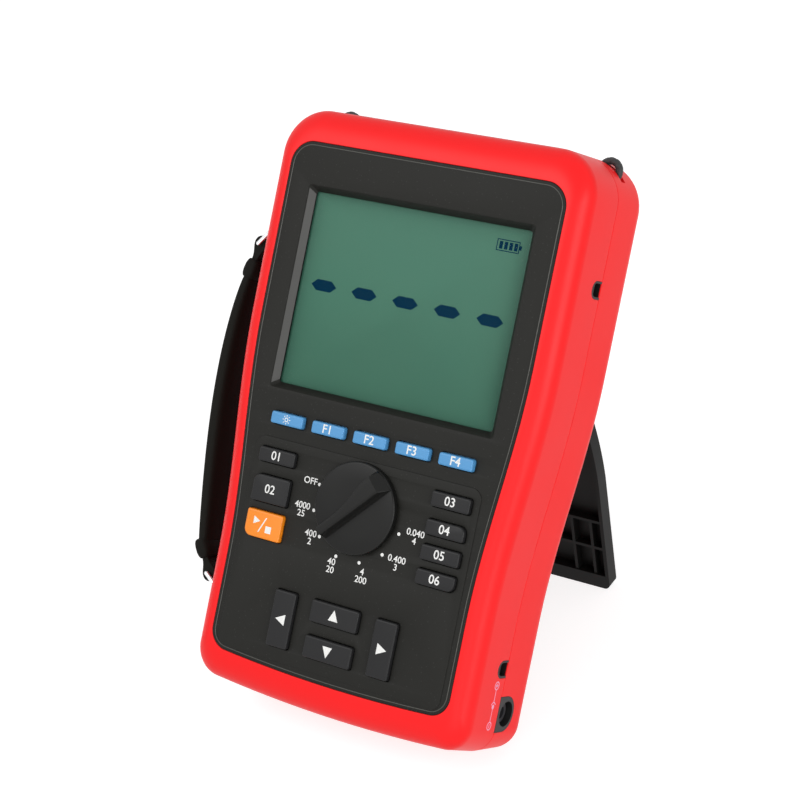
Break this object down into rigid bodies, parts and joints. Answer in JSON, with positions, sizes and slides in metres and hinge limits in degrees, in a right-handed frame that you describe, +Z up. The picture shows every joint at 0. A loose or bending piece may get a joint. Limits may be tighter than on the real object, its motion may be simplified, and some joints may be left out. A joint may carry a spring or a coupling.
{
  "type": "micro ohmmeter",
  "caption": "Handheld bench micro ohmmeter with large display, range dial, keys, hand strap, top sockets and folding kickstand",
  "frame": {"origin": "middle of the bounding box at the base, where the meter stands on its bottom edge and its kickstand", "axes": "+X to the right of the face, +Y towards the back, +Z up; the face looks to -Y and leans back 31.7 degrees"},
  "size_m": [0.1738, 0.1754, 0.2426],
  "materials": {
    "front_red": "moulded impact plastic, satin",
    "rear_red": "moulded impact plastic, satin",
    "face_plastic": "fine grained dark face",
    "clear_window": "clear hard coated window",
    "display_green": "liquid crystal glass",
    "white_plastic": "plain moulding",
    "black_plastic": "plain moulding",
    "grey_rubber": "moulded silicone",
    "board_green": "solder resist over fibreglass",
    "component_black": "moulded component bodies",
    "bare_aluminium": "extruded and sawn",
    "resistance_metal": "flat resistance strip",
    "fuse_body": "ceramic tube",
    "zinc_steel": "zinc plated",
    "knob_grey": "satin moulding",
    "contact_brass": "plated contact metal",
    "spring_steel": "rolled strip",
    "stand_black": "textured moulding",
    "cell_blue": "shrink sleeve",
    "key_blue": "satin moulding",
    "key_orange": "satin moulding",
    "key_dark": "satin moulding",
    "ring_chrome": "plated wire",
    "pad_black": "padded soft grip",
    "webbing_black": "woven strap",
    "cord_black": "braided cord"
  },
  "bodies": {
    "meter": {"front_shell": "front_red", "rear_shell": "rear_red", "face_plate": "face_plastic", "display_window": "clear_window", "display_glass": "display_green", "backlight": "white_plastic", "display_holder": "black_plastic", "keypad_mat": "grey_rubber", "main_board": "board_green", "board_parts": "component_black", "heat_sink": "bare_aluminium", "current_shunt": "resistance_metal", "fuse": "fuse_body", "buzzer": "black_plastic", "board_screws": "zinc_steel", "case_screws": "zinc_steel", "detent_spring": "spring_steel", "stand_pin": "zinc_steel", "battery_door": "black_plastic", "battery_door_screws": "zinc_steel", "battery_pack": "cell_blue", "terminal_block": "black_plastic", "test_sockets": "contact_brass", "usb_port": "zinc_steel", "jack_insert": "black_plastic", "dc_jack": "component_black", "lug_bushes": "black_plastic", "strap_rings": "ring_chrome", "strap_pad": "pad_black", "strap_collars": "black_plastic", "strap_loops": "webbing_black", "neck_cord_loops": "cord_black"},
    "knob": {"range_knob": "knob_grey", "switch_rotor": "white_plastic", "wiper_contacts": "contact_brass"},
    "stand": {"kickstand": "stand_black"},
    "blue_key_1_body": {"blue_key_1": "key_blue"},
    "blue_key_2_body": {"blue_key_2": "key_blue"},
    "blue_key_3_body": {"blue_key_3": "key_blue"},
    "blue_key_4_body": {"blue_key_4": "key_blue"},
    "blue_key_5_body": {"blue_key_5": "key_blue"},
    "left_key_top_body": {"left_key_top": "key_dark"},
    "left_key_middle_body": {"left_key_middle": "key_dark"},
    "start_key_body": {"start_key": "key_orange"},
    "right_key_1_body": {"right_key_1": "key_dark"},
    "right_key_2_body": {"right_key_2": "key_dark"},
    "right_key_3_body": {"right_key_3": "key_dark"},
    "right_key_4_body": {"right_key_4": "key_dark"},
    "arrow_key_left_body": {"arrow_key_left": "key_dark"},
    "arrow_key_up_body": {"arrow_key_up": "key_dark"},
    "arrow_key_down_body": {"arrow_key_down": "key_dark"},
    "arrow_key_right_body": {"arrow_key_right": "key_dark"}
  },
  "joints": [
    {"name": "stand_fold", "type": "hinge", "parent": "meter", "child": "stand", "pos_m": [0.00936, 0.06877, 0.18689], "axis": [-1, 0, 0], "range_deg": [0, 35.5]},
    {"name": "knob_turn", "type": "hinge", "parent": "meter", "child": "knob", "pos_m": [0.00936, -0.0422, 0.10616], "axis": [0, -0.8508, 0.5255], "range_deg": [-60, 120]},
    {"name": "blue_key_1_press", "type": "slide", "parent": "meter", "child": "blue_key_1_body", "axis": [0, 0.8508, -0.5255], "range_m": [0, 0.0008], "stiffness_N_per_m": 500, "springref_m": -0.001},
    {"name": "blue_key_2_press", "type": "slide", "parent": "meter", "child": "blue_key_2_body", "axis": [0, 0.8508, -0.5255], "range_m": [0, 0.0008], "stiffness_N_per_m": 500, "springref_m": -0.001},
    {"name": "blue_key_3_press", "type": "slide", "parent": "meter", "child": "blue_key_3_body", "axis": [0, 0.8508, -0.5255], "range_m": [0, 0.0008], "stiffness_N_per_m": 500, "springref_m": -0.001},
    {"name": "blue_key_4_press", "type": "slide", "parent": "meter", "child": "blue_key_4_body", "axis": [0, 0.8508, -0.5255], "range_m": [0, 0.0008], "stiffness_N_per_m": 500, "springref_m": -0.001},
    {"name": "blue_key_5_press", "type": "slide", "parent": "meter", "child": "blue_key_5_body", "axis": [0, 0.8508, -0.5255], "range_m": [0, 0.0008], "stiffness_N_per_m": 500, "springref_m": -0.001},
    {"name": "left_key_top_press", "type": "slide", "parent": "meter", "child": "left_key_top_body", "axis": [0, 0.8508, -0.5255], "range_m": [0, 0.0008], "stiffness_N_per_m": 500, "springref_m": -0.001},
    {"name": "left_key_middle_press", "type": "slide", "parent": "meter", "child": "left_key_middle_body", "axis": [0, 0.8508, -0.5255], "range_m": [0, 0.0008], "stiffness_N_per_m": 500, "springref_m": -0.001},
    {"name": "start_key_press", "type": "slide", "parent": "meter", "child": "start_key_body", "axis": [0, 0.8508, -0.5255], "range_m": [0, 0.0008], "stiffness_N_per_m": 500, "springref_m": -0.001},
    {"name": "right_key_1_press", "type": "slide", "parent": "meter", "child": "right_key_1_body", "axis": [0, 0.8508, -0.5255], "range_m": [0, 0.0008], "stiffness_N_per_m": 500, "springref_m": -0.001},
    {"name": "right_key_2_press", "type": "slide", "parent": "meter", "child": "right_key_2_body", "axis": [0, 0.8508, -0.5255], "range_m": [0, 0.0008], "stiffness_N_per_m": 500, "springref_m": -0.001},
    {"name": "right_key_3_press", "type": "slide", "parent": "meter", "child": "right_key_3_body", "axis": [0, 0.8508, -0.5255], "range_m": [0, 0.0008], "stiffness_N_per_m": 500, "springref_m": -0.001},
    {"name": "right_key_4_press", "type": "slide", "parent": "meter", "child": "right_key_4_body", "axis": [0, 0.8508, -0.5255], "range_m": [0, 0.0008], "stiffness_N_per_m": 500, "springref_m": -0.001},
    {"name": "arrow_key_left_press", "type": "slide", "parent": "meter", "child": "arrow_key_left_body", "axis": [0, 0.8508, -0.5255], "range_m": [0, 0.0008], "stiffness_N_per_m": 500, "springref_m": -0.001},
    {"name": "arrow_key_up_press", "type": "slide", "parent": "meter", "child": "arrow_key_up_body", "axis": [0, 0.8508, -0.5255], "range_m": [0, 0.0008], "stiffness_N_per_m": 500, "springref_m": -0.001},
    {"name": "arrow_key_down_press", "type": "slide", "parent": "meter", "child": "arrow_key_down_body", "axis": [0, 0.8508, -0.5255], "range_m": [0, 0.0008], "stiffness_N_per_m": 500, "springref_m": -0.001},
    {"name": "arrow_key_right_press", "type": "slide", "parent": "meter", "child": "arrow_key_right_body", "axis": [0, 0.8508, -0.5255], "range_m": [0, 0.0008], "stiffness_N_per_m": 500, "springref_m": -0.001}
  ]
}
